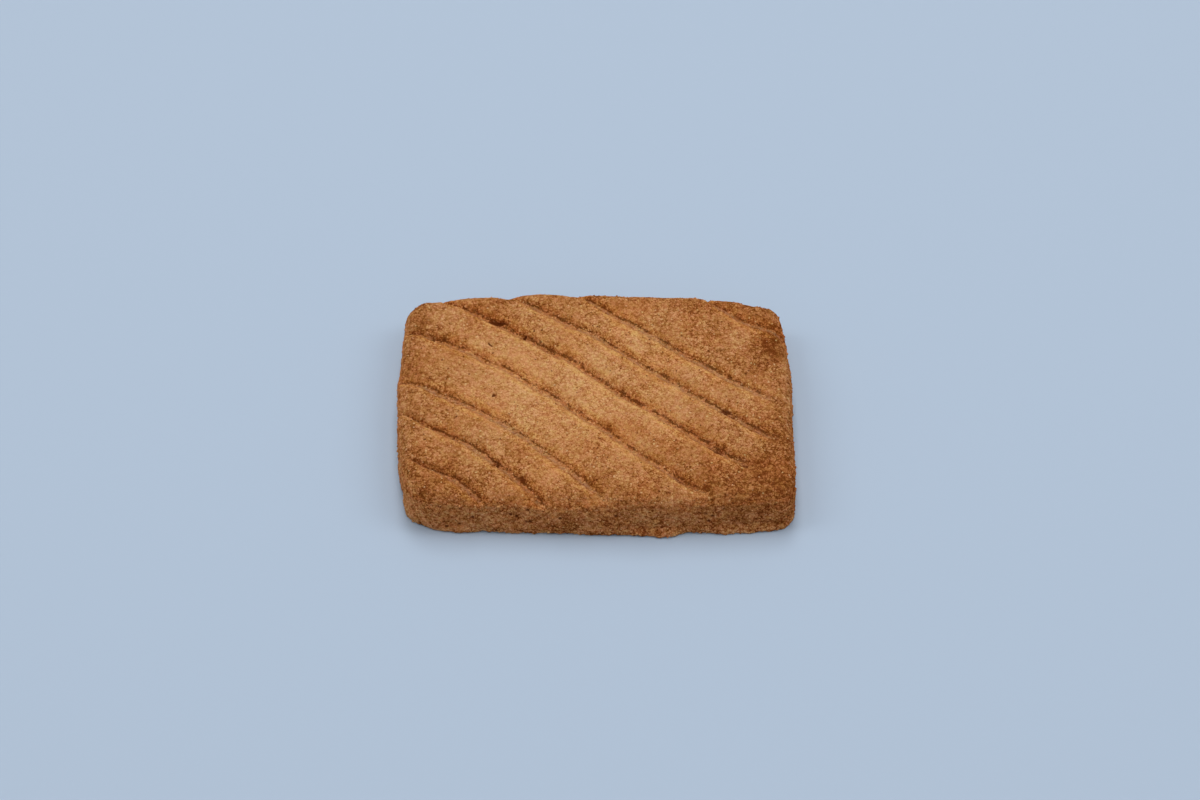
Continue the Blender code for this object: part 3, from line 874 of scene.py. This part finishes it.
give(crumb_mesh, **{name: np.repeat(numbers, 12) for name, numbers in for_corners.items()})
crumb_mesh.materials.append(crust)
crumbs = bpy.data.objects.new("crumbs", crumb_mesh)
bpy.context.scene.collection.objects.link(crumbs)
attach(crumbs, "root")

# The table: a wide, matt, pale blue sheet of card that the biscuit lies on, made as one flat square.
FLOOR_HALF_WIDTH = 1.6
CARD_COLOUR = (0.451, 0.552, 0.686, 1.0)
CARD_ROUGHNESS = 0.9
CARD_SHEEN = 0.2
floor_mesh = bpy.data.meshes.new("floor")
floor_corners = [
    (a * FLOOR_HALF_WIDTH, b * FLOOR_HALF_WIDTH, 0.0) for a, b in ((-1, -1), (1, -1), (1, 1), (-1, 1))
]
floor_mesh.from_pydata(floor_corners, [], [(0, 1, 2, 3)])
floor = bpy.data.objects.new("floor", floor_mesh)
bpy.context.scene.collection.objects.link(floor)
pale_blue = bpy.data.materials.new("pale blue card")
pale_blue.use_nodes = True
card = pale_blue.node_tree.nodes["Principled BSDF"]
card.inputs["Base Color"].default_value = CARD_COLOUR
card.inputs["Roughness"].default_value = CARD_ROUGHNESS
card.inputs["Specular IOR Level"].default_value = CARD_SHEEN
floor_mesh.materials.append(pale_blue)

# The light: a studio that is soft all round, with a wide box above and behind, one at each side and a
# small one in front, all a little over a metre away.
# A box: the compass angle it stands at, its height angle, its width and height, and its power
LIGHTS = (
    ("back box", 0, 66, (0.40, 0.85), 5.6),
    ("left box", -90, 50, (0.40, 0.70), 2.3),
    ("right box", 90, 50, (0.40, 0.70), 2.3),
    ("front box", 180, 62, (0.40, 0.40), 1.7),
)
LIGHT_DISTANCE = 1.2
ROOM_GLOW = 0.32
for name, azimuth, height, (wide, high), power in LIGHTS:
    box_data = bpy.data.lights.new(name, "AREA")
    box_data.shape = "RECTANGLE"
    box_data.size, box_data.size_y = wide, high
    box_data.energy = power
    turn, rise = math.radians(azimuth), math.radians(height)
    place = Vector((math.sin(turn) * math.cos(rise), math.cos(turn) * math.cos(rise), math.sin(rise)))
    soft_box = bpy.data.objects.new(name, box_data)
    soft_box.location = place * LIGHT_DISTANCE
    soft_box.rotation_euler = (-place).to_track_quat("-Z", "Y").to_euler()
    bpy.context.scene.collection.objects.link(soft_box)

world = bpy.data.worlds.new("room")
world.use_nodes = True
bpy.context.scene.world = world
glow = world.node_tree.nodes["Background"]
glow.inputs["Color"].default_value = (1.0, 1.0, 1.0, 1.0)
glow.inputs["Strength"].default_value = ROOM_GLOW

# The camera: a long lens in front of the biscuit, two thirds of a metre off, that looks down at the
# table.
CAMERA_LENS = 100.0
CAMERA_SENSOR = 36.0
CAMERA_HEIGHT_ANGLE = 48.0
CAMERA_DISTANCE = 0.637
CAMERA_AIM = (0.95 * MM, 6.47 * MM, 0.0)
camera_data = bpy.data.cameras.new("camera")
camera_data.lens = CAMERA_LENS
camera_data.sensor_width = CAMERA_SENSOR
camera = bpy.data.objects.new("camera", camera_data)
elevation = math.radians(CAMERA_HEIGHT_ANGLE)
aim = Vector(CAMERA_AIM)
camera.location = aim + CAMERA_DISTANCE * Vector((0.0, -math.cos(elevation), math.sin(elevation)))
camera.rotation_euler = (aim - camera.location).to_track_quat("-Z", "Y").to_euler()
bpy.context.scene.collection.objects.link(camera)
bpy.context.scene.camera = camera
bpy.context.scene.view_settings.view_transform = "Standard"
